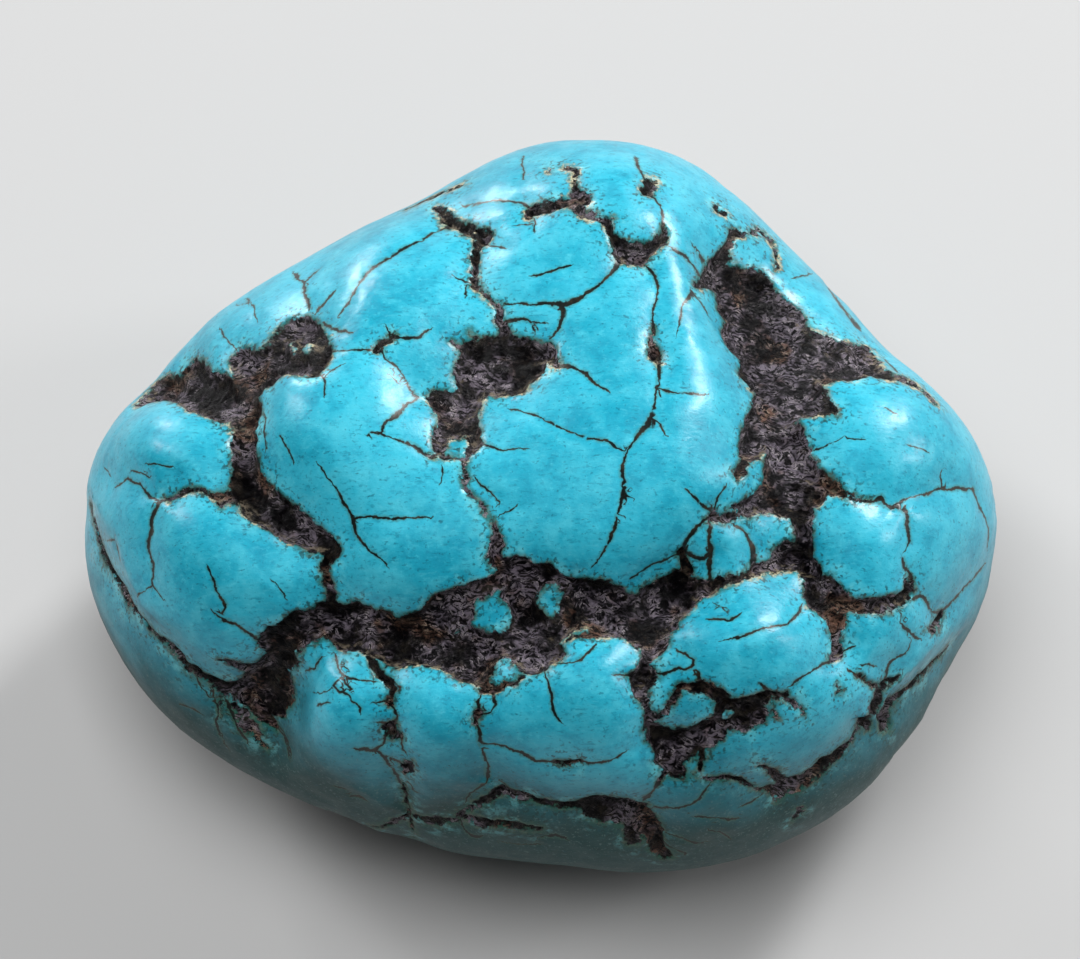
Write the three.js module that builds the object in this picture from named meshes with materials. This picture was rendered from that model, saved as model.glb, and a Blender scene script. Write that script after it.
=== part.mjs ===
// A tumbled turquoise nugget, one solid piece, lying on its broad back.
// Millimetres, +Z up, +X along the long side. The origin is on the surface it rests on,
// under the middle of its bounding box.
import * as THREE from "three";
import { mergeVertices } from "three/addons/utils/BufferGeometryUtils.js";

// ---- Driving dimensions ----
// The girdle is the widest line round the stone. Its radii are from the middle, seen from above,
// at even steps anticlockwise from +X.
const GIRDLE_RADII = [
  23.7, 20.1, 19.2, 20.4, 20.0, 18.0, 18.4, 21.1,
  24.2, 23.1, 20.4, 19.0, 18.8, 20.7, 22.2, 22.7,
];
const CROWN_HEIGHT = 13.5; // from the girdle up to the crown
const BELLY_DEPTH = 12.6; // from the girdle down to the belly, before it is worn flat
const SHOULDER_POWER = 2.35; // 2 is an ellipse, and more is a fuller shoulder
const WORN_FLAT_DEPTH = 0.35; // taken off the belly where the stone rests
const FACE_STEPS = 17; // each face of the starting icosahedron is split into this many plus one
const MERGE_DISTANCE = 1e-4; // corners of the starting ball's faces closer than this become one

// Broad swells and hollows that the tumbling left. Each is centred over or under the plan point
// [x, y], fades out over its reach, and rises by its rise. A hollow has a rise below zero.
const CROWN_SWELLS = {
  north_knob: { at: [4, 14], reach: 6, rise: 0.8 },
  central_dome: { at: [3, -3.5], reach: 5, rise: 0.9 },
  west_dome: { at: [-10, -2], reach: 4.6, rise: 0.8 },
  far_west_lobe: { at: [-18, -6.5], reach: 4.2, rise: 1.1 },
  north_west_lobe: { at: [-19.7, 0], reach: 3.8, rise: 0.8 },
  south_west_lobe: { at: [-10.5, -14.8], reach: 3, rise: 1.1 },
  south_lobe: { at: [-5.2, -15.4], reach: 3, rise: 0.9 },
  south_middle_lobe: { at: [1.8, -15], reach: 3.4, rise: 1.1 },
  south_east_lobe: { at: [11, -12.4], reach: 3.8, rise: 1.2 },
  east_lobe: { at: [18.5, 0.5], reach: 4.2, rise: 1.1 },
  low_east_lobe: { at: [17, -7], reach: 3.6, rise: 0.9 },
  east_hollow: { at: [12.5, 6], reach: 4, rise: -0.8 },
  central_pit: { at: [-3.3, 0.8], reach: 2.6, rise: -0.9 },
  south_west_hollow: { at: [-14.4, -13.4], reach: 2.6, rise: -1.2 },
};
const BELLY_SWELLS = {
  north_belly: { at: [5, 12], reach: 8, rise: 0.7 },
  west_belly: { at: [-15, -3], reach: 8, rise: 0.8 },
  east_belly: { at: [15, -6], reach: 7, rise: 0.9 },
  north_east_hollow: { at: [14, 9], reach: 6, rise: -0.5 },
  north_west_hollow: { at: [-9, 12], reach: 5, rise: -0.5 },
};

// Long ridges and long hollows of the crown, along plan points. Soft dark matrix has worn back in
// the hollows, so each has a rise below zero.
const CROWN_LINES = {
  spine: { at: [[4, 12], [6, 7.5], [6.8, 3.5], [7.6, -1], [7, -4.5]], reach: 3, rise: 0.9 },
  north_west_ridge: { at: [[-8, 10], [-9, 4], [-11.5, 1.5], [-13, -1]], reach: 2.6, rise: 0.8 },
  south_channel: {
    at: [[-14, -13.4], [-11.7, -11.6], [-7.1, -12], [-4.3, -12.6], [-1.5, -11], [4, -11], [12.5, -8]],
    reach: 1.9,
    rise: -1.3,
  },
  south_east_channel: { at: [[6.1, -10], [6, -13.5], [6.3, -16.5]], reach: 1.5, rise: -0.7 },
  east_channel: {
    at: [[10.3, 8], [11.6, 3.5], [12.8, -2.3], [12, -6.4], [14.5, -10]],
    reach: 2.2,
    rise: -1.1,
  },
  west_channel: {
    at: [[-20, 4.6], [-16.7, 2.4], [-15.1, -1.7], [-14.2, -4.6], [-12, -6.6], [-10.8, -9.4]],
    reach: 1.8,
    rise: -1.1,
  },
};

const TURQUOISE_COLOUR = 0x29a7b8;

// ---- The bare stone, before its swells ----

// The girdle's radius at an azimuth, on a smooth closed curve through GIRDLE_RADII.
function girdleRadius(azimuth) {
  const count = GIRDLE_RADII.length;
  const turn = THREE.MathUtils.euclideanModulo(azimuth / (2 * Math.PI), 1) * count;
  const step = Math.floor(turn);
  const t = turn - step;
  const radius = (offset) => GIRDLE_RADII[(step + offset + count) % count];
  const [before, from, to, after] = [radius(-1), radius(0), radius(1), radius(2)];
  const slopeFrom = (to - before) / 2;
  const slopeTo = (after - from) / 2;
  return (
    from * (2 * t ** 3 - 3 * t ** 2 + 1) +
    slopeFrom * (t ** 3 - 2 * t ** 2 + t) +
    to * (3 * t ** 2 - 2 * t ** 3) +
    slopeTo * (t ** 3 - t ** 2)
  );
}

// The bare skin's point in a direction from the middle of the girdle.
function skinPoint(direction) {
  const azimuth = Math.atan2(direction.y, direction.x);
  const flat = Math.hypot(direction.x, direction.y) ** (2 / SHOULDER_POWER);
  const steep = Math.abs(direction.z) ** (2 / SHOULDER_POWER);
  const height = direction.z > 0 ? CROWN_HEIGHT : -BELLY_DEPTH;
  const radius = girdleRadius(azimuth) * flat;
  return new THREE.Vector3(radius * Math.cos(azimuth), radius * Math.sin(azimuth), height * steep);
}

// The bare skin's point over (side 1) or under (side -1) a plan point.
function skinAt([x, y], side) {
  const share = Math.min(1, Math.hypot(x, y) / girdleRadius(Math.atan2(y, x)));
  const height = side > 0 ? CROWN_HEIGHT : -BELLY_DEPTH;
  return new THREE.Vector3(x, y, height * (1 - share ** SHOULDER_POWER) ** (1 / SHOULDER_POWER));
}

// ---- Swells, ridges and hollows ----

function fade(distance, reach) {
  return Math.exp(-((distance / reach) ** 2));
}

function swellAt(point, swells, side) {
  let rise = 0;
  for (const swell of Object.values(swells)) {
    rise += swell.rise * fade(point.distanceTo(skinAt(swell.at, side)), swell.reach);
  }
  return rise;
}

function lineAt(point, lines) {
  let rise = 0;
  for (const line of Object.values(lines)) {
    const path = line.at.map((plan) => skinAt(plan, 1));
    let nearest = Infinity;
    for (let i = 1; i < path.length; i++) {
      const stretch = new THREE.Line3(path[i - 1], path[i]);
      const foot = stretch.closestPointToPoint(point, true, new THREE.Vector3());
      nearest = Math.min(nearest, foot.distanceTo(point));
    }
    rise += line.rise * fade(nearest, line.reach);
  }
  return rise;
}

// The way out of the bare skin at a point, near enough for swells of a millimetre.
function outward(point) {
  const radius = girdleRadius(Math.atan2(point.y, point.x));
  const height = point.z > 0 ? CROWN_HEIGHT : BELLY_DEPTH;
  return new THREE.Vector3(point.x / radius ** 2, point.y / radius ** 2, point.z / height ** 2).normalize();
}

function nuggetPoint(direction) {
  const point = skinPoint(direction);
  const crownRise = swellAt(point, CROWN_SWELLS, 1) + lineAt(point, CROWN_LINES);
  const bellyRise = swellAt(point, BELLY_SWELLS, -1);
  return point.clone().addScaledVector(outward(point), crownRise + bellyRise);
}

// ---- The solid ----

function nuggetGeometry() {
  const ball = new THREE.IcosahedronGeometry(1, FACE_STEPS);
  ball.deleteAttribute("normal");
  ball.deleteAttribute("uv");
  const geometry = mergeVertices(ball, MERGE_DISTANCE);
  const position = geometry.getAttribute("position");
  for (let i = 0; i < position.count; i++) {
    const direction = new THREE.Vector3().fromBufferAttribute(position, i).normalize();
    position.setXYZ(i, ...nuggetPoint(direction).toArray());
  }

  // Wear the belly flat, then stand the stone on the origin's plane.
  geometry.computeBoundingBox();
  const worn = geometry.boundingBox.min.z + WORN_FLAT_DEPTH;
  for (let i = 0; i < position.count; i++) position.setZ(i, Math.max(position.getZ(i), worn));
  geometry.computeBoundingBox();
  const box = geometry.boundingBox;
  const middle = box.getCenter(new THREE.Vector3());
  geometry.translate(-middle.x, -middle.y, -box.min.z);
  geometry.computeVertexNormals();
  return geometry;
}

const turquoise = new THREE.MeshStandardMaterial({ color: TURQUOISE_COLOUR, roughness: 0.3, metalness: 0 });
const nugget = new THREE.Mesh(nuggetGeometry(), turquoise);
nugget.name = "turquoise_nugget";

const part = new THREE.Group();
part.add(nugget);

export default part;
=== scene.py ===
import math

import bpy
import numpy as np
from mathutils import Matrix, Vector, noise


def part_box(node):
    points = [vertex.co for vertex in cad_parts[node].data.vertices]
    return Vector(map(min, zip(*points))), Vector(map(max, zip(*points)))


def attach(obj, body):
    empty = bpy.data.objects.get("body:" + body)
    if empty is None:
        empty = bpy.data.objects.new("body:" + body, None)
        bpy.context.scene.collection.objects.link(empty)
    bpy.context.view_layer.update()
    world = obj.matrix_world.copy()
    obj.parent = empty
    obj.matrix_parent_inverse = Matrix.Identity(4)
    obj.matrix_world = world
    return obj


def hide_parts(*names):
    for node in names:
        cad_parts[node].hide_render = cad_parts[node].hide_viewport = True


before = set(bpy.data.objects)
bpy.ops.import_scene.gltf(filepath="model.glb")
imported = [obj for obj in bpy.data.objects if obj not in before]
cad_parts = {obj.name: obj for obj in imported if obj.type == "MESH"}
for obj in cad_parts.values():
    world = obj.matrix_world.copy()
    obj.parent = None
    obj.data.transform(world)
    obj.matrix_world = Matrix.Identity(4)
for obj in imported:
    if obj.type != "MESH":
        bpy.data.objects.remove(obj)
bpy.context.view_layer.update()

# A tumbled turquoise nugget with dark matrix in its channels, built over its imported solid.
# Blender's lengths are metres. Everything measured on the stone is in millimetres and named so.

MM = 0.001

# ---- The stone's show face ----
# Markings are laid out on the face plane. It stands across the line of sight of someone who looks
# down on the stone from the front. u runs right and v runs up, in mm from the outline's middle.
SIGHT_ELEVATION = math.radians(64)
SIGHT_DISTANCE_MM = 300.0
OUTLINE_LIFT_MM = -0.48  # the outline's middle, above the solid's middle, so a little below it
AIM_LIFT_MM = 1.34  # the aim, above the outline's middle
VIEW_WIDTH_MM = 56.3  # what the view takes in, across the face plane
SENSOR_WIDTH_MM = 36.0
DEPTH_SHARE = 0.4  # how far a step in depth counts when a marking's nearest line is found

# Dark matrix, as chains of (u, v, half width). One chain runs on from point to point.
MATRIX_CHAINS = {
    "west_channel": [
        [(-21.2, 5.5, .2), (-20, 6.3, .75), (-18.8, 6.4, .9), (-17.8, 6.2, 1.15), (-16.6, 5.8, 1.1),
         (-15.8, 5.3, .9)],
        [(-18.3, 7, .9)],
    ],
    "west_upper": [
        [(-16.2, 5.6, 1), (-15.3, 6.9, 1), (-14.3, 7.5, .8), (-13, 7.6, .45)],
        [(-15.6, 7.6, .9), (-14.8, 7.3, .8), (-13.9, 8.2, .75), (-13.2, 7.7, .4)],
        [(-13.9, 8.9, .4), (-13.3, 9.2, .55), (-12.8, 9.6, .6)],
        [(-12.3, 9.5, .7), (-12.1, 8.7, .9), (-11.7, 8.2, .8), (-12.2, 7.7, .7), (-13, 7.7, .7)],
    ],
    "west_down": [
        [(-15.6, 5, .7), (-15.7, 4, .55), (-15.6, 3, .6), (-15.5, 2, .65), (-15.3, 1, .85),
         (-14.6, .2, .75), (-13.6, -.6, .75), (-12.6, -1.3, .75), (-11.6, -1.9, .6), (-10.9, -2.3, .4),
         (-11.3, -3, .2), (-11.3, -3.6, .22), (-11, -4.3, .25), (-10.9, -5.2, .25)],
        [(-16.2, .8, .3), (-16.9, .7, .2), (-17.5, .95, .1), (-18.5, 1.05, .15), (-19.2, .8, .12),
         (-19.9, .5, .1)],
        [(-16.7, .5, .15), (-16.6, .1, .08)],
    ],
    "north_west_spot": [
        [(-5.4, 15.7, .25), (-4.8, 15.2, .3), (-3.8, 14.7, .35), (-3.1, 14.3, .45), (-3.3, 13.8, .25)],
        [(-3.35, 13.7, .25), (-3.4, 13, .24), (-3.5, 12.3, .16), (-3.4, 11.7, .12), (-2.7, 11, .15),
         (-2.2, 10.5, .18), (-2, 9.9, .24), (-1.9, 9.4, .24), (-2, 8.8, .3)],
        [(-7, 15.6, .1), (-5.5, 16.3, .15), (-4, 16.9, .1)],
    ],
    "north_bar": [
        [(-.5, 15.5, .35), (.3, 15.7, .3), (.9, 15.9, .25), (1.6, 15.9, .2), (1.9, 16.4, .4),
         (2.2, 16.2, .45)],
        [(1.7, 15.8, .2), (2.4, 15.3, .2), (3.1, 15.1, .15), (3.6, 14.9, .25), (3.6, 14.3, .2),
         (3.9, 13.8, .3), (4.4, 13.4, .5), (5.2, 13.4, .55), (5.9, 13.7, .35), (6.5, 14.1, .35),
         (6.6, 14.6, .15)],
        [(1.9, 16.6, .2), (1.8, 17, .12), (1.7, 17.6, .15), (1.2, 17.7, .1)],
    ],
    "spine_pits": [
        [(5.7, 16.7, .4), (5.9, 17.1, .25)],
        [(5.95, 9.3, .1), (5.9, 8.7, .2), (5.9, 8.2, .4), (6.2, 7.8, .2)],
        [(-8.5, 8.5, .2), (-8, 8.8, .2), (-7.6, 9, .12)],
        [(.4, 17.6, .12)],
    ],
    "central_pit": [
        [(-3.3, 8, .95), (-2, 8.1, .95), (-.6, 8.1, .9), (.3, 8.2, .55), (.8, 7.6, .25)],
        [(-3.6, 7, .85), (-2.5, 6.9, .95), (-1.4, 7.1, .95), (-.3, 7.4, .5)],
        [(-3.4, 6.1, .6), (-3.9, 6, .7), (-3.9, 5.5, .85), (-4.6, 5.4, .85), (-5.3, 5.8, .5)],
        [(-4.2, 4.7, .95), (-4.6, 4.1, .7), (-5.3, 3.6, .35), (-5.2, 3, .2), (-5.5, 2.75, .15)],
        [(-3.5, 4, .35), (-3.4, 3.4, .3), (-3.8, 2.9, .2), (-3.95, 2.3, .15), (-3.9, 1.6, .13),
         (-3.9, 1, .12), (-3.5, .5, .1), (-3, -.1, .1), (-2.6, -.7, .12), (-2.4, -1.3, .15),
         (-2.3, -2, .3), (-2.5, -2.7, .3), (-2.1, -3.2, .3), (-1.6, -3.5, .6)],
        [(-4.9, 2.7, .18), (-4.2, 2.6, .12), (-3.9, 2.4, .15)],
        [(-4.2, 8.3, .12), (-4.5, 8.7, .12)],
        [(-3.4, 9, .12), (-3.8, 9.4, .12)],
    ],
    "east_channel": [
        [(9.6, 12, .75), (10.5, 11.7, 1), (11.6, 11.6, .9)],
        [(8.6, 11.7, .3), (9.3, 11.9, .6)],
        [(10.6, 10.6, 1.15), (11.6, 10.4, 1.3), (12.6, 10, 1.2), (13.3, 9.3, 1)],
        [(11.2, 9, 1.45), (12.3, 8.6, 1.6), (13.6, 8.2, 1.5), (15, 7.9, 1.35), (16.3, 7.9, 1.2),
         (17, 8.1, .9), (17.8, 7.4, .55), (18.8, 6.9, .25), (20, 6.2, .15), (20.8, 5.3, .08)],
        [(12.1, 7.2, 1.5), (13.2, 6.6, 1.4), (13.9, 5.9, 1.1), (14.6, 5.4, .6), (15.5, 5, .2)],
        [(12.6, 5.6, 1.2), (12.3, 4.8, 1), (12, 4.2, 1.1), (11.6, 3.5, .85), (11.2, 3, .6),
         (10.9, 2.2, .3), (10.5, 1.7, .3)],
        [(12.9, 3.8, .95), (13.1, 2.8, .95), (12.9, 1.8, .95), (13.2, .8, 1.1), (13.6, -.1, .75),
         (13.7, -1, .45), (13.7, -1.8, .4), (13.7, -2.5, .55)],
        [(12.6, .4, 1), (11.8, .2, .55), (10.8, 0, .3), (10.3, -.1, .12)],
        [(13.9, 2, .6), (14.7, 1.6, .4), (15.2, 1.2, .3), (15.9, .7, .15), (16.7, .45, .08),
         (17.5, .4, .07)],
        [(14.6, 2, .12), (15, 1.7, .12)],
        [(14.3, .5, .5), (14.4, 1, .5)],
    ],
    "north_east_specks": [
        [(10.2, 14.4, .28), (10.7, 14.15, .15)],
        [(10.3, 14.2, .25), (10, 13.6, .25), (9.85, 13.1, .35), (9.6, 12.5, .5)],
        [(10.9, 14.2, .06), (11.6, 14.4, .12), (12.2, 13.9, .15), (12.4, 13.3, .12), (12.5, 12.6, .12)],
        [(9.4, 15.6, .25), (9.8, 15.3, .15)],
    ],
    "south_channel": [
        [(-13.5, -6.8, .35), (-12.5, -5.9, .35)],
        [(-13.2, -7.3, .8), (-12.2, -6.5, .7), (-11.1, -6, .9), (-9.8, -6.1, .9), (-8.6, -6.5, .75),
         (-7.4, -6.7, .75), (-6.2, -6.5, .85), (-5.2, -6, 1.1), (-4.2, -5.4, 1.1), (-3.4, -5.1, .6),
         (-3.6, -4.4, .25)],
        [(-10.6, -6.8, .6), (-9.6, -6.9, .4), (-8.6, -7.3, .6), (-7.6, -7.6, .6), (-6.6, -7.4, .65),
         (-5.6, -7.4, .8), (-4.8, -7.7, .85), (-4.2, -8.1, .8), (-3.4, -8.3, .8)],
        [(-3.6, -7.6, 1), (-2.6, -7.6, .7), (-1.3, -7.3, .9), (-.3, -7.5, 1.1), (.4, -7.3, .8)],
        [(-.6, -8.4, .5), (-1, -8.2, .4)],
        [(-3.2, -8.9, .4), (-2.9, -9.4, .25), (-2.2, -9.5, .2), (-1.6, -9.3, .2), (-1.2, -8.9, .2)],
        [(-1.4, -3.6, .9), (-.4, -3.9, .8), (.3, -3.7, .5)],
        [(-1, -4.9, 1), (-.9, -6, 1.1), (.9, -5.9, .9), (2, -5.3, 1.2), (3.2, -5.3, 1.3),
         (4.6, -5.7, 1), (5.8, -5.7, 1.2), (6.7, -4.9, 1), (7.6, -4.3, .7), (8.5, -4.3, .35),
         (9.5, -4, .2), (10.4, -3.8, .18), (11.2, -3.4, .25), (12, -3.1, .3), (12.8, -2.8, .5),
         (13.6, -2.8, .6), (14.2, -3.5, .5)],
        [(.2, -6.7, .6), (1.2, -6.3, .4), (2.3, -6.4, .35), (3.1, -6.3, .3)],
        [(-3.6, -4.7, .5), (-2.8, -4.4, .4), (-1.9, -3.9, .55), (-1.4, -3.6, .8)],
        [(-1.5, -5.4, .5), (-1.8, -6.6, .4), (-2.7, -6.9, .4), (-3.7, -6.7, .4)],
        [(.3, -3.8, .4), (1.1, -4.2, .4), (1.9, -4.6, .6), (1.6, -5.3, .5), (.9, -6, .5)],
        [(5.4, -6.2, .9), (6, -6.9, .75), (5.9, -7.8, .45), (5.7, -8.5, .4), (5.6, -9.2, .55),
         (5.5, -9.8, .4), (5.8, -10.4, .15), (5.9, -10.8, .15), (5.9, -11.3, .25), (5.9, -11.9, .3),
         (6.3, -12.4, .4)],
    ],
    "south_west_hollow": [
        [(-13.7, -7.4, .9), (-13.7, -8.3, .9), (-14.2, -9.1, .7), (-14.7, -9.8, .8)],
        [(-16.8, -10.1, .3), (-16, -10.3, .6), (-15, -10.4, .95), (-14.2, -10.3, .8), (-13.7, -10.2, .5)],
        [(-15.2, -11.2, .5), (-14.8, -11.7, .4), (-14.5, -12.2, .2)],
        [(-13.5, -9.2, .4), (-13.4, -9.8, .35), (-13.6, -10.5, .25)],
        [(-16.4, -11, .1), (-16, -11.7, .14), (-15.7, -12.3, .06)],
        [(-16.9, -10.6, .1), (-17, -11.2, .06)],
        [(-14.9, -8.9, .3), (-15.7, -8.7, .2), (-16.3, -8.5, .12), (-16.9, -8.2, .06)],
        [(-15.9, -11.4, .2), (-15.5, -12.2, .22), (-15.1, -12.8, .15), (-14.5, -13.4, .08)],
        [(-14.7, -7.6, .2), (-13.9, -7.2, .5)],
    ],
    "south_strand": [
        [(-8.9, -7.9, .15), (-8.5, -8.6, .3), (-8.1, -9, .25), (-7.75, -9.5, .2), (-7.9, -10, .15),
         (-8.1, -10.4, .25)],
        [(-7.9, -11.8, .2), (-8, -12.2, .35), (-8, -12.45, .25), (-7.6, -12.4, .1), (-7.4, -12.6, .1)],
        [(-6.8, -13.7, .05), (-6.85, -13.9, .2), (-7.1, -14.2, .25), (-7.2, -14.5, .12)],
        [(-3.2, -10.8, .12), (-3.3, -11.2, .25), (-3.4, -11.5, .2)],
        [(.9, -13.55, .1), (1.5, -13.6, .15), (2.1, -13.55, .14)],
        [(4.9, -8.9, .12), (5.3, -8.8, .3)],
    ],
    "south_east_band": [
        [(6.3, -12.4, .4), (7, -12.9, .8), (8.1, -12.6, .8), (9, -12, .7), (9.5, -11.5, .6),
         (10.2, -11.4, .45), (11, -11.5, .4), (11.6, -11.1, .35)],
        [(6.9, -13.6, .75), (7.2, -14.1, .5), (6.5, -14.6, .2)],
        [(8.6, -13.3, .25), (8.4, -13.9, .12)],
        [(8.5, -9.4, .2), (9.2, -10, .3), (9.6, -10.4, .4), (10.4, -10.4, .3), (11.3, -10.4, .35),
         (12.2, -10.1, .25), (12.9, -10, .15), (13.4, -10.3, .2), (13.7, -10.7, .15), (13.8, -11.1, .1)],
        [(9.5, -10.7, .5), (10.4, -10.8, .4), (11.2, -10.9, .5)],
        [(7.4, -9.6, .25), (8.1, -9.6, .25), (8.4, -9.7, .2), (9, -9.95, .2)],
        [(7.2, -9.9, .12), (7, -10.3, .12), (6.7, -10.8, .13), (6.3, -11.2, .15), (6.1, -11.6, .2)],
        [(12.1, -10.8, .1), (12.5, -11.1, .12)],
    ],
    "east_fork": [
        [(14.2, -4, .45), (14.5, -4.7, .5), (15, -5.2, .5), (15.5, -5.8, .45), (15.6, -6.5, .4),
         (15.8, -7.1, .33), (15.8, -7.7, .28), (15.6, -8, .12)],
        [(15, -4.1, .45), (15.4, -4.7, .4), (16, -5.15, .35), (17, -5.25, .35), (18, -5.25, .4),
         (19, -5, .4), (19.6, -4.6, .35), (19.6, -4.1, .22)],
        [(12.3, -2.5, .25), (12.9, -2.2, .3)],
        [(9.3, -.65, .3), (9.8, -.75, .25), (10.3, -.65, .2), (11, -.45, .3), (11.8, 0, .4)],
        [(7.7, -3.6, .3), (7.5, -2.8, .3)],
        [(21.4, -5.8, .15), (21.3, -6.05, .2), (21.1, -6.3, .28), (20.8, -6.6, .2), (20.5, -6.55, .1)],
    ],
    "south_base_hollow": [
        [(1.9, -16.3, .2), (2.5, -16.4, .55), (3.4, -16.5, .8), (4.4, -16.6, .85), (5.1, -16.9, .8),
         (5.6, -17.4, .7), (6, -18, .5), (6.4, -18.5, .35), (7, -18.6, .15)],
        [(4.6, -17.3, .4), (4.9, -17.9, .3)],
        [(-9.8, -16.9, .06), (-8.4, -17, .12), (-7, -16.7, .14), (-5.6, -16.9, .16), (-4.2, -16.7, .16),
         (-3.5, -16, .12), (-2.1, -15.4, .22), (-.7, -15.8, .15), (1, -16.2, .15), (1.9, -16.3, .25)],
        [(-4.2, -16.7, .12), (-2.8, -16.9, .24), (-2.1, -16.8, .18), (0, -17.2, .1)],
        [(-7.3, -15.1, .08), (-7, -16.7, .12), (-6.6, -17.7, .08)],
    ],
    "south_east_groove": [
        [(8, -14.2, .08), (8.6, -14.5, .1), (9.2, -14.6, .1), (10, -14.5, .15), (10.6, -14.8, .2),
         (11.2, -15.1, .12), (11.8, -15.3, .1), (12.3, -15.4, .3)],
        [(11.4, -13.5, .04), (11.9, -13.8, .15), (12.4, -14.2, .25), (12.8, -14.6, .32),
         (13, -14.9, .35)],
        [(17.3, -12.1, .15), (16.8, -12.5, .1), (16.5, -12.8, .15), (16.2, -13.2, .2),
         (15.7, -13.6, .2), (15.2, -13.9, .35), (14.8, -14.4, .38), (14.2, -14.8, .4),
         (13.4, -15.1, .4), (12.8, -15.4, .45), (12.5, -15.7, .3)],
        [(13.6, -16.2, .15), (13.3, -16.6, .12)],
        [(16.8, -9.1, .1), (17.2, -9.3, .12), (17.6, -9.5, .12), (18, -9.6, .15), (18, -10, .2),
         (17.9, -10.5, .28), (17.7, -11, .25), (17.5, -11.5, .3), (17.6, -11.9, .35)],
        [(18.2, -9.5, .15), (18.7, -9.3, .15), (19.1, -9.15, .06)],
        [(18.6, -11.4, .42), (18.5, -11.9, .33)],
        [(18.6, -10.6, .4), (18.3, -11, .3)],
        [(18.9, -10.9, .28), (19.3, -10.4, .22), (19.6, -10, .14), (20, -9.7, .18), (20.4, -9.3, .18),
         (20.8, -8.8, .14), (21.2, -8.3, .14), (21.6, -7.8, .1), (21.8, -7.5, .05)],
        [(15.7, -9.4, .12), (15.9, -9.6, .1), (15.7, -9.9, .1)],
    ],
    "west_rim_groove": [
        [(-23.9, .5, .12), (-23.8, -.8, .15), (-23.6, -2, .15), (-23.4, -2.9, .2), (-22.9, -3.9, .25),
         (-22.2, -5, .2), (-21.6, -6, .15), (-20.8, -6.9, .12), (-20.1, -7.5, .15), (-19.4, -8.2, .25),
         (-18.8, -8.9, .2), (-17.9, -9.4, .2), (-17, -9.9, .3), (-16, -10.2, .35)],
    ],
}

# Turquoise left standing inside the matrix, as discs and short chains (u, v, radius).
ISLAND_CHAINS = [
    [(-2.5, -5.7, .9)],
    [(-3.6, -6.2, .2), (-2.9, -6, .5)],
    [(.5, -4.9, .62), (.65, -5.3, .4)],
    [(-2, -8.45, .62), (-1.8, -8.7, .5)],
    [(1.3, -7.5, .12), (1.9, -7.4, .32), (2.6, -7.1, .2)],
    [(1.2, -6.75, .08), (1.8, -6.45, .18), (2.4, -6.2, .1)],
    [(9.7, -11.1, .25), (10, -11.2, .2)],
    [(-12.3, 8.5, .3)],
    [(-3.5, 14.5, .12)],
    [(12.1, -1.5, .75)],
    [(11.5, 1.8, .3), (11.2, 1.9, .35)],
    [(-4.4, 3.3, .45)],
    [(11.4, 13.5, .7)],
    [(-14.9, -8.2, .25)],
]

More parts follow.
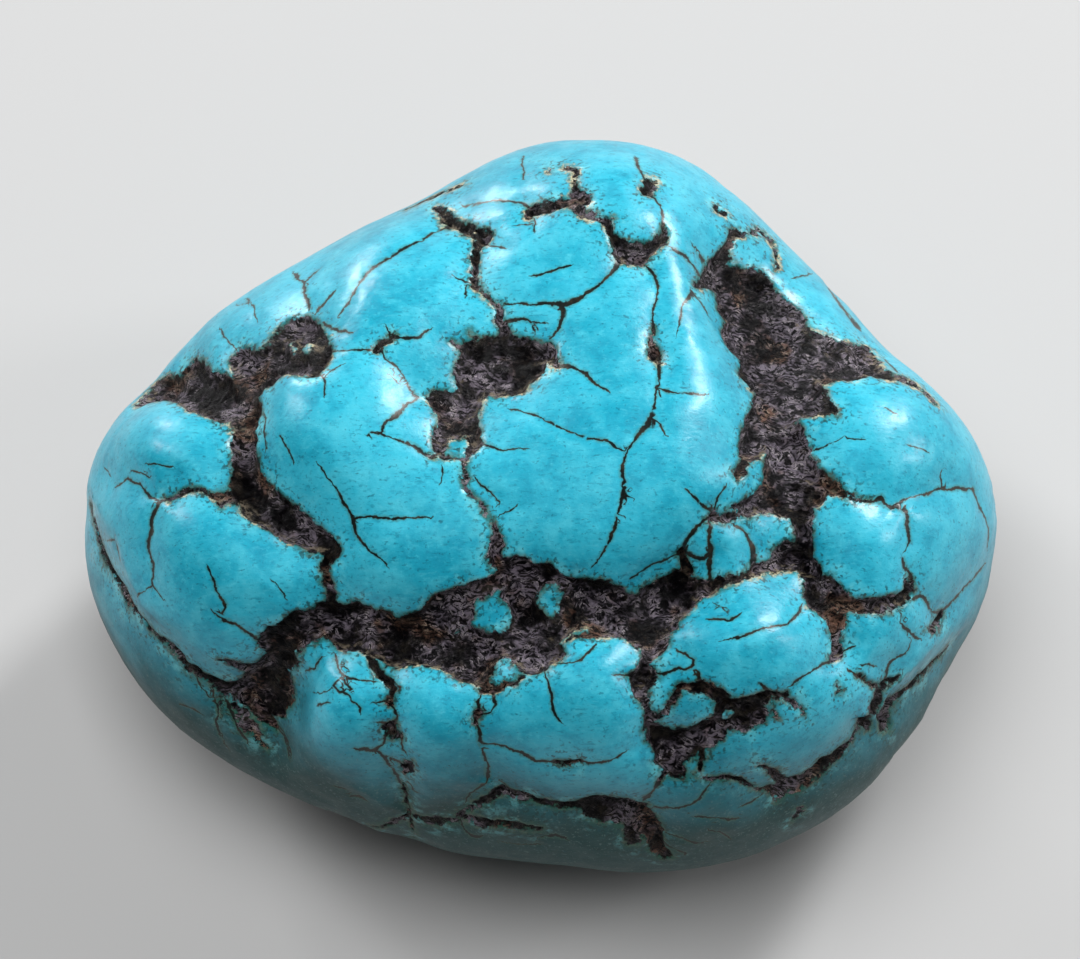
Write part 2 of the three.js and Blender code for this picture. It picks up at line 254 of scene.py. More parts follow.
# Hairline cracks, as chains of (u, v, half width).
CRACK_CHAINS = {
    "west_shoulder": [
        [(-13.1, 12.7, .04), (-12.9, 12.2, .08), (-12.4, 11.8, .09), (-12.4, 11.2, .09),
         (-12.2, 10.6, .07)],
        [(-12.4, 11.8, .06), (-11.6, 12.4, .04)],
        [(-11.8, 10.4, .05), (-10.85, 11.4, .04)],
        [(-15.2, 11.4, .04), (-15.3, 10.9, .05), (-15, 10.4, .05), (-14.9, 9.9, .04)],
        [(-15.3, 10.7, .05), (-15.8, 10.6, .04)],
        [(-16.2, 8.5, .05), (-16.7, 9, .05), (-16.8, 9.3, .04)],
        [(-11.4, 9.8, .09), (-10.7, 9.4, .08), (-10, 9.3, .05)],
        [(-10.8, 8.4, .06), (-9.8, 8.35, .05), (-8.8, 8.45, .08)],
        [(-12.4, 7, .05), (-11.2, 7.1, .05), (-10.3, 7.6, .04)],
        [(-11.5, 7, .05), (-11.2, 6.6, .05), (-11.25, 5.9, .04)],
        [(-10.6, 10.2, .05), (-10.1, 10.7, .06), (-9.5, 11.8, .08), (-8.9, 12.6, .08), (-8, 13.15, .08),
         (-7, 13.7, .08), (-6.2, 14.1, .07), (-5.6, 14.6, .07), (-4.9, 14.95, .08)],
        [(-13.65, 3.6, .05), (-13.3, 2.9, .05), (-13, 2.3, .04)],
        [(-14.7, 4.8, .05), (-14.6, 3.8, .05), (-14.5, 3, .04)],
        [(-7.6, 9, .1), (-7.2, 8.85, .08), (-6.3, 8.85, .06), (-5.75, 9.3, .04)],
        [(-7.8, 9, .06), (-8, 9.5, .04)],
        [(-8.2, 8.4, .07), (-8, 7.9, .06), (-7.4, 7.5, .06), (-7, 7, .06), (-6.6, 6.4, .06),
         (-6.2, 5.9, .07)],
        [(-8, 7.1, .04), (-7.4, 6.7, .04)],
    ],
    "north_crown": [
        [(-4.4, 12.15, .04), (-3.9, 11.95, .05), (-3.5, 12, .05)],
        [(-3.85, 11.9, .04), (-3.9, 11.2, .04)],
        [(-2.9, 13.9, .05), (-1.95, 13.65, .04)],
        [(-4.1, 15.85, .05), (-2.5, 16.05, .06), (-1, 16, .06), (-.7, 15.8, .08)],
        [(-1, 18.3, .05), (-.9, 17.3, .05)],
        [(-.35, 15, .07), (-.35, 14.5, .05)],
        [(-.5, 14.85, .05), (-1.3, 14.75, .04)],
        [(-.4, 12.05, .04), (.5, 12.3, .05), (1.5, 12.6, .04)],
        [(4, 12.8, .15), (3.6, 12.1, .1), (3, 11.5, .06), (2.2, 11, .09), (1.6, 10.7, .12),
         (1.1, 10.5, .15), (.4, 10.65, .07), (-.6, 10.65, .06), (-1.8, 10.7, .04)],
        [(1.1, 10.5, .15), (1.1, 9.9, .15), (1, 9.4, .13), (.6, 9, .1)],
        [(-1.9, 9.9, .1), (-.9, 9.95, .07), (-.5, 9.8, .06), (.2, 9.7, .04)],
        [(-.5, 9.8, .05), (-.4, 9.4, .07)],
        [(1.1, 7.5, .12), (1.8, 7.35, .08), (2.4, 6.9, .09), (2.8, 6.5, .07), (3.5, 6.1, .04)],
        [(5.6, 17.2, .06), (5.3, 17.7, .08), (5.1, 18.2, .1)],
        [(6, 16.4, .06), (6.4, 15.8, .06), (6.6, 15.2, .07), (6.55, 14.7, .12)],
        [(7.1, 13.6, .06), (7.7, 13.2, .06), (8.2, 12.7, .07), (8.6, 12.2, .09)],
        [(8.1, 13.8, .05), (8.5, 13.3, .06), (8.9, 12.9, .1)],
        [(13.5, 12.1, .05), (14.3, 12.2, .04)],
        [(14.2, 12.9, .04), (14.7, 12.1, .07), (15.2, 11.4, .09), (15.8, 10.6, .11), (16.3, 10, .13),
         (16.8, 9.5, .15)],
        [(18.2, 8, .06), (18.8, 7.3, .05)],
        [(6.4, 6.1, .05), (7.5, 5.9, .05), (8.7, 5.8, .04)],
        [(8.1, 11.2, .09), (7.6, 10.7, .07), (7.4, 9.8, .05), (7.2, 9.1, .03)],
        [(8.2, 11.3, .07), (8.7, 10.6, .05), (9.1, 10.1, .04)],
    ],
    "spine": [
        [(5.6, 12.9, .09), (6.1, 12.3, .08), (6.25, 11.6, .07), (6.15, 11, .06), (5.9, 10.5, .07),
         (5.85, 9.9, .08), (5.95, 9.3, .1)],
        [(6.2, 7.8, .12), (6.2, 7.3, .08), (6.2, 6.5, .07), (6.1, 6.3, .07), (6, 5.2, .08),
         (5.8, 4.7, .15), (5.6, 4.3, .14), (5.4, 4, .1), (4.9, 3.4, .08), (4.5, 2.9, .08),
         (4.3, 2.2, .09), (4.25, 1.6, .09), (4.4, 1, .1), (4.3, .3, .1), (4.1, -.3, .09),
         (3.95, -1, .08), (3.6, -1.9, .07), (3.2, -2.7, .06), (2.8, -3.3, .05)],
        [(4.4, .5, .06), (4.8, .4, .04)],
        [(4.3, 1, .05), (4.6, .95, .04)],
        [(4.1, -.4, .05), (4.4, -.6, .04)],
        [(6.1, 4.4, .06), (6.6, 3.7, .04)],
    ],
    "west_lobe": [
        [(-19.9, .5, .1), (-20.3, .35, .08), (-20.9, .6, .07), (-21.4, 1.2, .07), (-22, 1.45, .06),
         (-22.5, 1.1, .05)],
        [(-20.2, .3, .08), (-20.6, -.6, .1), (-20.6, -1.2, .12), (-20.8, -1.9, .1), (-20.8, -2.5, .08),
         (-20.6, -3, .06), (-20.55, -4.2, .06), (-19.8, -4.9, .04)],
        [(-20.55, -4.3, .05), (-21.3, -4.85, .04)],
        [(-17.4, -3.3, .04), (-16.9, -4.3, .06), (-16.5, -5.4, .06), (-16.7, -6.1, .05)],
        [(-17.1, -5.6, .05), (-16.7, -6.1, .08), (-15.8, -6.5, .07), (-14.9, -7.3, .08)],
        [(-20.6, 2.25, .04), (-19.4, 2.1, .04)],
        [(-21.6, 1.9, .04), (-20.8, 1.65, .04)],
        [(-23, 2, .04), (-22.9, 1.7, .04)],
        [(-14, -3.8, .03), (-13.2, -4.8, .03)],
        [(-22.4, -2.1, .05), (-22.3, -2.9, .04)],
        [(-23, -1.9, .04), (-22.5, -1.8, .07)],
        [(-17.4, -10.2, .06), (-17.1, -11, .06), (-17.1, -11.6, .06), (-16.8, -12.3, .05),
         (-16.4, -12.9, .04)],
        [(-16.7, -10.8, .06), (-16.4, -11.5, .06), (-16, -12.2, .06), (-15.6, -12.8, .05)],
        [(-18.3, -9.5, .05), (-17.9, -10, .05), (-17.5, -10.5, .05)],
        [(-18.9, -10.5, .04), (-18.3, -10.8, .05), (-17.9, -11.1, .04)],
        [(-14.6, -11.9, .07), (-14, -12.7, .06), (-13.5, -13.6, .05)],
        [(-14.2, -12, .05), (-13.8, -12.8, .05), (-13.3, -13.6, .04)],
    ],
    "west_dome": [
        [(-11.6, 2.1, .04), (-11.1, 1.5, .05), (-10.6, .6, .06), (-10.1, -.4, .07), (-9.8, -.9, .09),
         (-9.75, -1.5, .08)],
        [(-9.8, -.75, .08), (-9.2, -.55, .07), (-8.5, -.6, .06), (-7.6, -.7, .06), (-6.6, -.65, .05),
         (-5.7, -.6, .04)],
        [(-9.7, -1.6, .07), (-9, -2.3, .06), (-8, -3.2, .04)],
        [(-6.2, 5.9, .06), (-6.9, 5.6, .07), (-7.3, 5.2, .1), (-7.5, 4.8, .11), (-8.1, 4.3, .07),
         (-8.2, 3.9, .06), (-8.9, 3.75, .04)],
        [(-8.5, 3.85, .05), (-7.5, 3.5, .06), (-6.7, 3.2, .1), (-6, 2.8, .12), (-5.5, 2.7, .12)],
        [(-5.1, 2, .06), (-5.2, 1.2, .04)],
        [(-3.4, 1.5, .05), (-2.8, .9, .05), (-2.2, .2, .04)],
        [(-2.1, -.5, .05), (-1.3, 0, .04)],
        [(-2.9, 3.35, .06), (-2.3, 3.1, .06), (-1.8, 2.95, .05), (-.7, 3, .04)],
        [(-1.6, 5.2, .04), (-.9, 5, .05), (-.1, 4.8, .05), (.7, 4.3, .05), (1.6, 3.85, .05),
         (2.5, 3.55, .05), (3.5, 3.45, .06), (4, 3.1, .06), (4.4, 2.9, .07)],
    ],
    "east_cells": [
        [(9.2, -.3, .12), (8.5, .1, .07), (7.7, .85, .04)],
        [(9.4, -.3, .08), (9.5, .5, .06), (9.8, 1, .04)],
        [(7.5, -2.8, .15), (7.7, -2.2, .12), (8.1, -1.5, .12), (8.7, -.9, .14), (9.3, -.65, .15)],
        [(9.1, -1, .08), (9, -2, .11), (9.1, -2.5, .14), (9, -3.2, .14), (8.9, -4.1, .12)],
        [(7.6, -2.7, .14), (8.4, -2.9, .11), (9, -2.7, .11)],
        [(10.4, -1.1, .05), (11, -1.6, .08), (11.35, -2.3, .11), (11.3, -3, .14)],
        [(5, -3.9, .05), (6, -3.3, .05), (7.2, -2.95, .06)],
        [(14.3, 3.1, .04), (15.6, 3.5, .04)],
        [(16, 3.6, .03), (16.8, 3.5, .03)],
        [(17, .4, .08), (17.6, .35, .09), (18, .55, .12), (18.2, .2, .08), (18.5, 0, .08),
         (19, .2, .07), (19.2, .4, .07), (20, .6, .06), (20.8, .75, .07), (21.4, .85, .08),
         (22, .9, .08), (22.8, .85, .07), (23, .4, .06), (23.3, -.3, .06), (23.5, -.9, .06),
         (23.6, -1.6, .06), (23.6, -2.2, .05)],
        [(18.7, 0, .08), (19.2, -.1, .08), (19.4, -.5, .09), (19.4, -1, .12), (19.5, -1.5, .08),
         (19.6, -2, .1), (19.5, -2.3, .05)],
        [(19.3, -2.8, .1), (19.4, -3.3, .08), (19.7, -3.6, .08), (19.8, -3.9, .1)],
        [(21.3, .95, .05), (21.2, 1.5, .04), (21.3, 1.8, .03)],
        [(19.9, -5, .08), (20.4, -4.75, .08), (20.55, -5, .08), (20.7, -5.4, .07), (21, -5.7, .09),
         (21.4, -5.8, .12), (21.6, -5.5, .08), (22, -5.1, .08), (22.4, -4.7, .08), (22.8, -4.2, .07),
         (23.2, -3.6, .06), (23.5, -3.1, .05)],
        [(19.1, -6.3, .07), (19.4, -6.6, .08), (19.8, -6.9, .07), (20, -7, .05)],
        [(19, -5.7, .06), (19.3, -5.95, .04)],
        [(16.4, -8.7, .06), (16.8, -9.1, .09)],
        [(18.4, -9.2, .08), (18.5, -8.8, .07), (18.6, -8.4, .07), (18.9, -8.1, .06), (19.3, -7.8, .05),
         (19.6, -7.3, .04)],
        [(17, -8.4, .04), (17.4, -8.3, .05), (17.7, -8.5, .05)],
        [(19.3, 3.2, .04), (20, 3, .04), (20.3, 2.8, .04)],
        [(18.2, 5.2, .05), (18.6, 4.9, .04)],
    ],
    "south_east_lobe": [
        [(9.5, -7, .04), (10.6, -6.75, .05), (11.9, -6.35, .06), (13, -6.1, .06), (13.6, -5.6, .06),
         (13.75, -5.1, .05)],
        [(8.8, -5.8, .05), (9.7, -5.9, .07), (10.4, -5.6, .05)],
        [(9.1, -5, .06), (9.5, -5.15, .1)],
        [(9.8, -7.1, .03), (10.4, -6.9, .04)],
        [(15.5, -8.1, .09), (15, -8.3, .07), (14.5, -8.7, .07), (14, -9, .06), (13.5, -9.3, .06),
         (13.2, -9.5, .04)],
        [(16.1, -7.6, .06), (16.6, -7.4, .05)],
        [(11.6, -9.4, .08), (11.9, -9.8, .09)],
        [(7.1, -7.5, .08), (7.5, -7.8, .08), (7.9, -8, .09), (7.9, -8.4, .08), (7.6, -8.6, .08),
         (7.1, -8.5, .1), (6.7, -8.7, .1), (6.3, -8.8, .12), (6, -8.7, .12)],
        [(8.2, -8.8, .08), (8.3, -9.3, .12), (8.6, -9.7, .12)],
    ],
    "south_lobes": [
        [(-12.4, -8.7, .05), (-12, -8.5, .05), (-11.85, -8.2, .06), (-11.6, -8, .05)],
        [(-10.9, -7.8, .09), (-10.7, -8.3, .07), (-10.4, -8.7, .06), (-10, -8.95, .05), (-9.4, -9, .05),
         (-8.8, -9.05, .04)],
        [(-10.4, -8.9, .04), (-10.2, -9.2, .05), (-9.9, -9.5, .04)],
        [(-10.5, -9, .04), (-10.9, -9.3, .06), (-11.2, -9.6, .05), (-11.6, -9.75, .04), (-12, -9.8, .03)],
        [(-10.9, -9.35, .05), (-10.5, -9.7, .05), (-10.1, -9.8, .05), (-9.9, -10.2, .05),
         (-9.6, -10.4, .05), (-9.4, -10.6, .05), (-9.4, -10.8, .04)],
        [(-11.7, -10.4, .06), (-11.4, -10.25, .07), (-11.2, -10.2, .05)],
        [(-10.3, -8.2, .06), (-10.1, -8.4, .06)],
        [(-8.1, -10.5, .12), (-7.85, -10.8, .09), (-7.75, -11.3, .09), (-7.9, -11.8, .12)],
        [(-8.7, -10.3, .05), (-8.3, -10.25, .08)],
        [(-8.5, -11.7, .08), (-8.1, -12, .1)],
        [(-8, -12.4, .12), (-8.3, -12.6, .11), (-8.3, -13, .11), (-8.7, -13.3, .1), (-9, -13.3, .08),
         (-9.2, -13.05, .07), (-9.7, -12.95, .05)],
        [(-7.4, -12.6, .1), (-7.35, -13, .08), (-7.2, -13.35, .06)],
        [(-8.6, -13.4, .08), (-8.3, -13.8, .08), (-7.9, -14.3, .07), (-7.65, -14.7, .08),
         (-7.5, -15.1, .07), (-7.3, -15.3, .06), (-7.15, -15.7, .06), (-7.2, -16, .06),
         (-6.9, -16.6, .05), (-6.9, -17, .04)],
        [(-7.9, -13.8, .05), (-7.3, -14, .08)],
        [(-7, -15, .05), (-6.7, -15.4, .06), (-6.4, -15.4, .04)],
        [(-9.9, -15.4, .06), (-9.5, -15.4, .08), (-9.2, -15.7, .08)],
        [(-10.8, -14.8, .05), (-10.2, -15, .05)],
        [(-11.2, -16, .05), (-10.7, -16.3, .05)],
        [(-3.15, -9.8, .05), (-3.25, -10.3, .07), (-3.2, -10.8, .1)],
        [(-3.4, -11.5, .12), (-3.2, -12, .09), (-3.1, -12.6, .08), (-3.05, -13.2, .08),
         (-2.9, -13.8, .09), (-2.75, -14.4, .08), (-2.8, -14.9, .06), (-3.3, -15.2, .06),
         (-3.8, -15.6, .06), (-4, -16, .05)],
        [(-2.6, -9.8, .07), (-2.4, -10.4, .07), (-2.6, -10.9, .06), (-3, -11.1, .05)],
        [(-3, -12.85, .06), (-2.5, -12.8, .05), (-1.9, -12.8, .06), (-1.2, -13, .06), (-.7, -13.2, .11),
         (-.3, -13.45, .07), (.3, -13.5, .08), (.9, -13.55, .1)],
        [(2.1, -13.55, .12), (2.5, -13.6, .07), (3.1, -13.55, .06), (3.7, -13.4, .06),
         (4.2, -13.15, .05), (4.6, -13, .03)],
        [(.1, -8.6, .06), (.3, -9.1, .07), (.45, -9.7, .07), (.55, -10.4, .07), (.8, -11, .06),
         (1.05, -11.4, .04)],
        [(4, -8.75, .08), (4.6, -8.8, .06), (5, -8.85, .08)],
        [(1, -8, .07), (1.6, -8.05, .07), (2.1, -7.9, .07), (2.5, -7.5, .06), (2.9, -7.1, .05)],
        [(-2.1, -15, .05), (-1.6, -15.4, .12), (-1.1, -15.6, .1), (-.6, -15.8, .07), (-.1, -16.1, .07),
         (.8, -16.15, .08), (1.3, -16.3, .07), (2, -16.3, .07), (2.4, -16.2, .12)],
        [(5.5, -15.9, .15), (5.7, -15.7, .1), (6, -15.3, .09), (6.3, -14.9, .12)],
        [(6.1, -16.4, .08), (6.6, -16.3, .06), (7.3, -16.1, .06), (8, -15.8, .05), (8.5, -15.5, .06),
         (8.8, -15.1, .06), (9, -14.8, .06)],
        [(8.1, -16.4, .04), (8.8, -16.5, .05), (9.8, -16.6, .05), (10.4, -16.5, .04)],
        [(6.7, -17.7, .05), (7.5, -17.7, .05), (8.2, -17.85, .05), (8.8, -17.75, .04)],
        [(8.9, -17.1, .05), (9.4, -17.2, .06), (9.9, -17.5, .05)],
        [(10.6, -16, .04), (11.2, -15.9, .05), (11.7, -15.7, .05)],
        [(-4.4, -16.7, .05), (-4, -17.2, .06), (-3.6, -17.5, .06), (-3.1, -17.5, .05)],
        [(0, -17.6, .04), (.8, -17.5, .06), (1.3, -17.7, .06)],
        [(-2, -17.8, .04), (0, -17.9, .04)],
        [(5.8, -17.8, .05), (6.9, -18.2, .06), (7.6, -18.4, .05)],
    ],
}

# Where the skin dips into a crease between two lobes, as chains of (u, v, depth of the dip).
CREASE_CHAINS = [
    [(-23, 1.2, .3), (-22, 1.4, .4), (-20.3, .5, .5), (-19, 1, .5), (-17.4, 1, .4), (-16, 1, .2)],
    [(-20.4, .2, .3), (-20.8, -2, .35), (-20.6, -3.6, .3), (-20.2, -5, .1)],
    [(-24, 0, .3), (-23.6, -2, .5), (-22.9, -3.9, .6), (-21.6, -6, .6), (-19.4, -8.2, .6),
     (-17, -9.9, .5), (-15, -11.4, .9), (-14.2, -13, .9)],
    [(-8, -8, .2), (-7.9, -10, .5), (-8, -12.2, .6), (-8.2, -14, .5), (-7.2, -16, .5), (-6.9, -17.4, .3)],
    [(-3, -9.5, .3), (-3.3, -11.2, .5), (-3, -13.2, .5), (-2.7, -14.8, .5), (-1.4, -15.6, .4),
     (.8, -16.2, .4), (3.5, -16.4, .4), (6, -17, .4)],
    [(-2.8, -15, .3), (-4, -16, .4), (-6, -16.6, .4), (-9, -16.2, .2)],
    [(5.7, -9, .3), (5.9, -11.5, .4), (6.8, -13.4, .4), (6.2, -15.2, .4), (5.6, -16, .3)],
    [(9, -14.6, .2), (10.6, -14.8, .4), (12.4, -15.4, .5), (14.6, -14.4, .5), (16.4, -13, .5),
     (17.6, -11.6, .8), (18.6, -10.8, .8), (20, -9.7, .6), (21.8, -7.6, .4)],
    [(17.8, -11, .2), (18, -9.5, .3), (18.6, -8.4, .3), (19.6, -7.2, .1)],
    [(15.8, -7.6, .3), (15, -8.3, .2), (13.6, -9.3, .1)],
    [(15.4, 1, .3), (17.2, .4, .4), (18.6, 0, .4), (20, .6, .35), (21.6, .9, .3), (23, .6, .2)],
    [(19, 0, .2), (19.4, -1.6, .3), (19.5, -3.4, .3), (19.8, -4.4, .2)],
    [(20.4, -4.9, .2), (21.2, -5.8, .3), (22.6, -4.4, .3), (23.6, -3, .2)],
    [(5.4, 13, .3), (6.2, 11.6, .25), (5.9, 9.6, .2), (6.2, 7.6, .2)],
    [(-3.4, 13, .3), (-3.5, 11.8, .25), (-2.2, 10.4, .25), (-1.9, 9.2, .2)],
    [(-9.4, 12, .1), (-8, 13.2, .2), (-6, 14.2, .2), (-4.8, 15, .2)],
    [(-8.6, 8.5, .2), (-7.4, 7.5, .3), (-6.4, 6.2, .3), (-5.4, 5.8, .2)],
    [(9.6, -.6, .3), (8.2, -1.4, .3), (7.6, -2.8, .3)],
    [(9, -1, .2), (9, -4, .2)],
]

# ---- How the stone is cut and finished ----
PIECE = "turquoise_stone"
WELD_DISTANCE = 1e-6  # corners closer than this, in metres, become one
CHAIN_STEP_MM = 0.6  # the chains are laid on the skin in steps no longer than this
NEAR_MM = 3.0  # markings further off than this don't count at a point
FAR_MM = 99.0  # stands for a distance that nothing has measured
EDGE_WANDER_MM = 0.14  # how far the matrix's edge strays from its chains
CRACK_WANDER_SHARE = 0.45  # how much of that straying the cracks take up
FINE_EDGE_MM = 0.5  # faces in the matrix, or this near a marking, are split once
FINEST_EDGE_MM = 0.1  # faces in the matrix, or this near a marking, are split twice

# Wear. Depths and reaches are in mm, inwards from the bare skin.
LEAST_PRESS_MM = 0.001  # less than this is left alone
CREASE_REACH_MM = 1.3
BROAD_HALF_WIDTH_MM = 0.8  # matrix at least this broad has full shoulders
NARROW_LOSS = 2.5  # how fast the shoulders fade as the matrix narrows
SHOULDER_DEPTH_MM = 0.42
SHOULDER_REACH_MM = 1.5
FLOOR_DEPTH_MM = 0.34
FLOOR_REACH_MM = 0.4
ROUGH_DEPTH_MM = 0.3
ROUGH_REACH_MM = 0.25
ROUGH_GRAIN_MM = 0.7
GROOVE_DEPTH_MM, GROOVE_REACH_MM = 0.02, 0.15
GROOVE_SHOULDER_MM, GROOVE_SHOULDER_REACH_MM = 0.09, 0.6

# The web of matrix under and behind, which runs along the walls between cells of turquoise.
HIDDEN_SEED = 11
HIDDEN_CELLS = 46
HIDDEN_CELL_GAP_MM = 5.0
HIDDEN_HALF_WIDTH_MM = 0.27  # the matrix's usual half width along the walls
HIDDEN_SWELL_MM = 1.2  # how much it swells and shrinks along them
HIDDEN_SWELL_SIZE_MM = 9.0
HIDDEN_HALF_WIDTHS_MM = (-0.25, 0.95)  # least and most, and no matrix shows below zero
TURN_STARTS = 0.16  # the web begins where the skin faces the eye by no more than this cosine
TURN_SPAN = 0.22  # and is whole once the cosine is this much less

# The skin's slight unevenness from tumbling, as (depth, size, seed) of each swell.
UNEVEN_MM = [(0.03, 3.4, 21), (0.012, 1.2, 22)]


# ---- The stage, in metres and watts. Each light is (place, size, power), and it aims at the stone. ----
SOFT_OVERHEAD = ((-.06, -.02, .55), (.4, .3), 2.75)  # lights the stone, and isn't mirrored in it
STRIP_LIGHTS = {
    "back_left": ((-.24, .49, .095), (.05, .11), .8),
    "left": ((-.357, .26, .249), (.07, .2), .8),
    "back_right": ((.277, .33, .305), (.09, .25), 2.5),
    "right": ((.449, .063, .226), (.07, .24), .75),
}
LIGHTS_AIM = (0, 0, .014)
ROOM_LIGHT = 0.08
FLOOR_SIZE = 3
FLOOR_GREY = 0.42

# ---- Vectors of the show face, in mm ----
low_mm, high_mm = (np.array(corner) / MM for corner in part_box("turquoise_nugget"))
SIGHT = np.array([0, math.cos(SIGHT_ELEVATION), -math.sin(SIGHT_ELEVATION)])
FACE_RIGHT = np.array([1.0, 0, 0])
FACE_UP = np.cross(FACE_RIGHT, SIGHT)
OUTLINE_MIDDLE_MM = (low_mm + high_mm) / 2 + FACE_UP * OUTLINE_LIFT_MM
AIM_MM = OUTLINE_MIDDLE_MM + FACE_UP * AIM_LIFT_MM
EYE_MM = AIM_MM - SIGHT * SIGHT_DISTANCE_MM


def on_face_plane(points_mm):
    """(u, v, depth) of points, each seen from the eye. Depth is counted by its share."""
    from_eye = points_mm - EYE_MM
    depth = from_eye @ SIGHT
    spread = SIGHT_DISTANCE_MM / depth
    u = (from_eye @ FACE_RIGHT) * spread
    v = (from_eye @ FACE_UP) * spread + AIM_LIFT_MM
    return np.stack([u, v, depth * DEPTH_SHARE], axis=1)


def stepped_chain(chain):
    """The chain with further points in between, so that no step is too long."""
    stepped = [chain[0]]
    for start, end in zip(chain, chain[1:]):
        steps = max(1, math.ceil(math.dist(start[:2], end[:2]) / CHAIN_STEP_MM))
        stride = (np.array(end) - start) / steps
        stepped += [tuple(np.array(start) + stride * k) for k in range(1, steps + 1)]
    return stepped


def laid_on(piece, chains):
    """The chains laid on the piece's skin, each as an array of (u, v, depth, half width)."""
    laid = []
    for chain in chains:
        run = []
        for u, v, half_width in stepped_chain(chain):
            target = OUTLINE_MIDDLE_MM + FACE_RIGHT * u + FACE_UP * v
            towards = Vector(target - EYE_MM).normalized()
            hit, place, _, _ = piece.ray_cast(Vector(EYE_MM * MM), towards)
            if hit:
                run.append([*on_face_plane(np.array([place]) / MM)[0], half_width])
        if run:
            laid.append(np.array(run))
    return laid


def nearest_on(chains, points):
    """How far outside the chains each point is, its side, its distance, and their half width there."""
    count = len(points)
    outside = np.full(count, FAR_MM)
    gap = np.full(count, FAR_MM)
    side = np.ones(count)
    width = np.full(count, 0.05)
    for run in chains:
        starts = run[:-1] if len(run) > 1 else run
        ends = run[1:] if len(run) > 1 else run
        near = run[:, :3].min(0) - NEAR_MM
        far = run[:, :3].max(0) + NEAR_MM
        here = np.flatnonzero(((points > near) & (points < far)).all(1))
        if not len(here):
            continue
        local = points[here]
        for a, b in zip(starts, ends):
            along = b[:3] - a[:3]
            length2 = float(along @ along)
            t = np.clip((local - a[:3]) @ along / length2, 0, 1) if length2 > 0 else np.zeros(len(local))
            offset = local - (a[:3] + t[:, None] * along)
            distance = np.sqrt((offset ** 2).sum(1))
            half = a[3] + t * (b[3] - a[3])
            outside[here] = np.minimum(outside[here], distance - half)
            closer = distance < gap[here]
            chosen = here[closer]
            gap[chosen] = distance[closer]
            cross = along[0] * offset[:, 1] - along[1] * offset[:, 0]
            side[chosen] = np.where(cross[closer] >= 0, 1.0, -1.0)
            width[chosen] = half[closer]
    return outside, side, gap, width


def wander(points_mm, size_mm, seed):
    """Smooth noise from about -1 to 1 at points, with features of a size."""
    shift = Vector((seed * 17.3, seed * 5.1, seed * 9.7))
    return np.array([noise.noise(Vector(p) / size_mm + shift) for p in points_mm]) * 1.6


def hidden_cells():
    """Middles of the turquoise cells under and behind, spread over the solid's box."""
    draw = np.random.default_rng(HIDDEN_SEED)
    middle = (low_mm + high_mm) / 2
    half = (high_mm - low_mm) / 2
    chosen = []
    while len(chosen) < HIDDEN_CELLS:
        direction = draw.normal(size=3)
        spot = middle + half * direction / np.linalg.norm(direction) * draw.uniform(.82, 1)
        if all(np.linalg.norm(spot - other) > HIDDEN_CELL_GAP_MM for other in chosen):
            chosen.append(spot)
    return np.array(chosen)


def hidden_walls(points_mm, cells):
    """Side and distance of the nearest wall between two cells."""
    straying = [wander(points_mm, 4.0, seed) * 1.2 + wander(points_mm, 1.3, seed + 3) * .25
                for seed in (1, 2, 3)]
    strayed = points_mm + np.stack(straying, axis=1)
    distance2 = ((strayed[:, None, :] - cells[None, :, :]) ** 2).sum(2)
    order = np.argsort(distance2, axis=1)[:, :2]
    first, second = order[:, 0], order[:, 1]
    rows = np.arange(len(points_mm))
    apart = np.linalg.norm(cells[first] - cells[second], axis=1)
    gap = (distance2[rows, second] - distance2[rows, first]) / (2 * apart)
    return np.where(first < second, 1.0, -1.0), gap


def shoulder_reach(half_width):
    """The half width as the worn shoulders count it. Narrow matrix wears them less."""
    return half_width - NARROW_LOSS * np.maximum(0, BROAD_HALF_WIDTH_MM - half_width)


